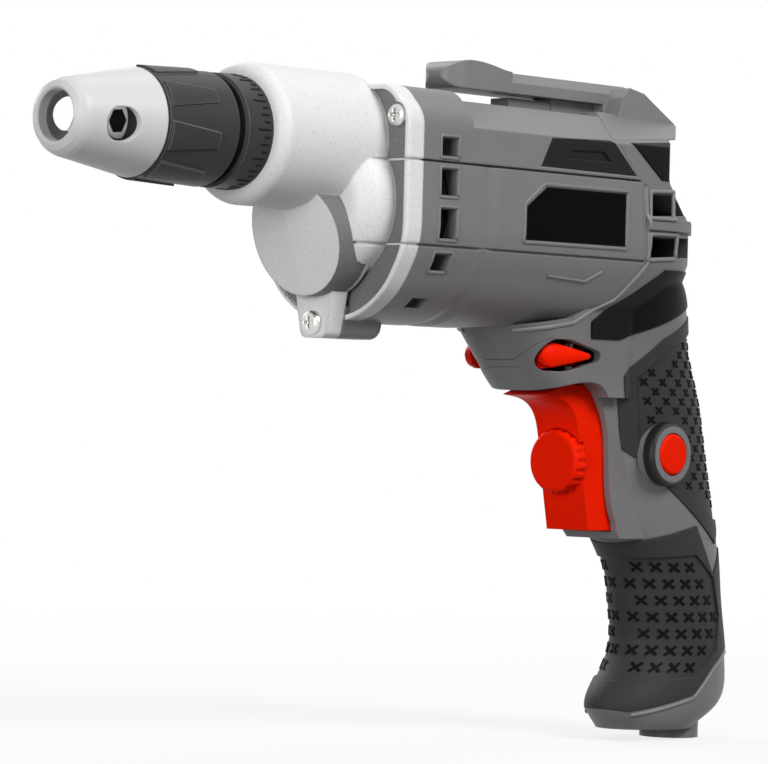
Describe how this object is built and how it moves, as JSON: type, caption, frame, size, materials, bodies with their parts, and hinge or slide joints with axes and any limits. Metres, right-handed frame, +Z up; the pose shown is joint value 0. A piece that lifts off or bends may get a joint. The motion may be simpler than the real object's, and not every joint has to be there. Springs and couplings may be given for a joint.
{
  "type": "drywall screwdriver",
  "caption": "Corded pistol-grip drywall screw gun with a depth-setting nose, clutched spindle, geared motor, trigger with speed dial, reversing lever and hanging hook.",
  "frame": {"origin": "middle of the mouth of the bit socket, on the spindle axis", "axes": "+X runs backwards along the spindle axis, so the nose points to -X; +Y to the tool's right; +Z up"},
  "size_m": [0.3, 0.0632, 0.2123],
  "materials": {
    "white_plastic": "satin moulded",
    "black_plastic": "fine moulded grain",
    "black_gloss": "smooth, bare",
    "white_casting": "cast and painted, fine speckle",
    "bare_casting": "cast and machined",
    "grey_plastic": "fine moulded grain",
    "panel_plastic": "fine moulded grain",
    "dark_plastic": "fine moulded grain",
    "light_plastic": "satin moulded",
    "black_rubber": "soft overmould with a field of small marks",
    "red_plastic": "satin moulded",
    "steel": "turned or plated",
    "bronze": "plain metal",
    "copper": "enamelled wire and bare bars",
    "laminations": "stacked sheet",
    "inner_plastic": "plain moulded"
  },
  "bodies": {
    "housing": {"bearing_plate": "bare_casting", "brush_carrier": "inner_plastic", "brush_holders": "bronze", "carbon_brushes": "inner_plastic", "clamp_screws": "steel", "cord_clamp": "inner_plastic", "cord_gland": "black_rubber", "finger_grip_left": "black_rubber", "finger_grip_right": "black_rubber", "flank_pad_left": "black_rubber", "flank_pad_right": "black_rubber", "front_bearing": "steel", "gear_bush": "bronze", "gear_case_screws": "steel", "gear_housing": "white_casting", "handle_left": "dark_plastic", "handle_right": "dark_plastic", "handle_screws": "steel", "hang_hook": "light_plastic", "label_plate_left": "black_gloss", "label_plate_right": "black_gloss", "lever_pin": "steel", "lower_grip_left": "dark_plastic", "lower_grip_right": "dark_plastic", "motor_housing": "grey_plastic", "palm_grip_left": "black_rubber", "palm_grip_right": "black_rubber", "rear_bearing": "steel", "rear_half_left": "dark_plastic", "rear_half_right": "dark_plastic", "rear_pad_left": "black_plastic", "rear_pad_right": "black_plastic", "scale_collar": "black_plastic", "side_panel_left": "panel_plastic", "side_panel_right": "panel_plastic", "spindle_bush": "bronze", "stator_coils": "copper", "stator_core": "laminations", "switch_body": "inner_plastic", "trigger_spring": "steel"},
    "depth_sleeve": {"depth_sleeve": "black_plastic"},
    "depth_ring": {"depth_ring": "black_plastic"},
    "nose": {"nose_locator": "white_plastic"},
    "spindle_slider": {"thrust_washer": "steel"},
    "spindle": {"spindle": "steel", "bit_clip": "steel"},
    "drive_gear": {"drive_gear": "steel", "clutch_spring": "steel"},
    "armature": {"armature_shaft": "steel", "armature_core": "laminations", "armature_windings": "copper", "commutator": "copper", "cooling_fan": "inner_plastic"},
    "trigger": {"trigger": "red_plastic", "trigger_stem": "inner_plastic"},
    "speed_dial": {"speed_dial": "red_plastic"},
    "lock_button": {"lock_button": "red_plastic"},
    "reverse_lever": {"reverse_lever": "red_plastic"}
  },
  "joints": [
    {"name": "depth_slide", "type": "slide", "parent": "housing", "child": "depth_sleeve", "axis": [-1, 0, 0], "range_m": [-0.002, 0.004]},
    {"name": "depth_ring_turn", "type": "hinge", "parent": "depth_sleeve", "child": "depth_ring", "pos_m": [0.02, 0, 0], "axis": [-1, 0, 0], "range_deg": [-355, 715]},
    {"name": "nose_pull", "type": "slide", "parent": "depth_sleeve", "child": "nose", "axis": [-1, 0, 0], "range_m": [0, 0.045]},
    {"name": "spindle_push", "type": "slide", "parent": "housing", "child": "spindle_slider", "axis": [1, 0, 0], "range_m": [0, 0.004], "stiffness_N_per_m": 2500, "springref_m": -0.002, "deforming": ["clutch_spring"]},
    {"name": "spindle_spin", "type": "hinge", "parent": "spindle_slider", "child": "spindle", "pos_m": [0, 0, 0], "axis": [1, 0, 0], "continuous": true},
    {"name": "drive_gear_spin", "type": "hinge", "parent": "housing", "child": "drive_gear", "pos_m": [0.078, 0, 0], "axis": [1, 0, 0], "continuous": true},
    {"name": "armature_spin", "type": "hinge", "parent": "housing", "child": "armature", "pos_m": [0.145, 0, -0.018], "axis": [1, 0, 0], "continuous": true},
    {"name": "trigger_pull", "type": "slide", "parent": "housing", "child": "trigger", "axis": [1, 0, 0], "range_m": [0, 0.006], "stiffness_N_per_m": 1200, "springref_m": -0.003, "deforming": ["trigger_spring"]},
    {"name": "speed_dial_turn", "type": "hinge", "parent": "trigger", "child": "speed_dial", "pos_m": [0.195, 0, -0.094], "axis": [1, 0, 0], "range_deg": [-150, 150]},
    {"name": "lock_button_push", "type": "slide", "parent": "housing", "child": "lock_button", "axis": [0, 1, 0], "range_m": [0, 0.003], "stiffness_N_per_m": 900, "springref_m": -0.002},
    {"name": "reverse_lever_swing", "type": "hinge", "parent": "housing", "child": "reverse_lever", "pos_m": [0.2, 0, -0.0608], "axis": [0, 0, 1], "range_deg": [0, 20]}
  ],
  "couplings": [
    {"joint": "depth_slide", "follows": "depth_ring_turn", "m_per_rad": 0.00031831},
    {"joint": "spindle_spin", "follows": "armature_spin", "ratio": -0.25},
    {"joint": "drive_gear_spin", "follows": "armature_spin", "ratio": -0.25}
  ]
}
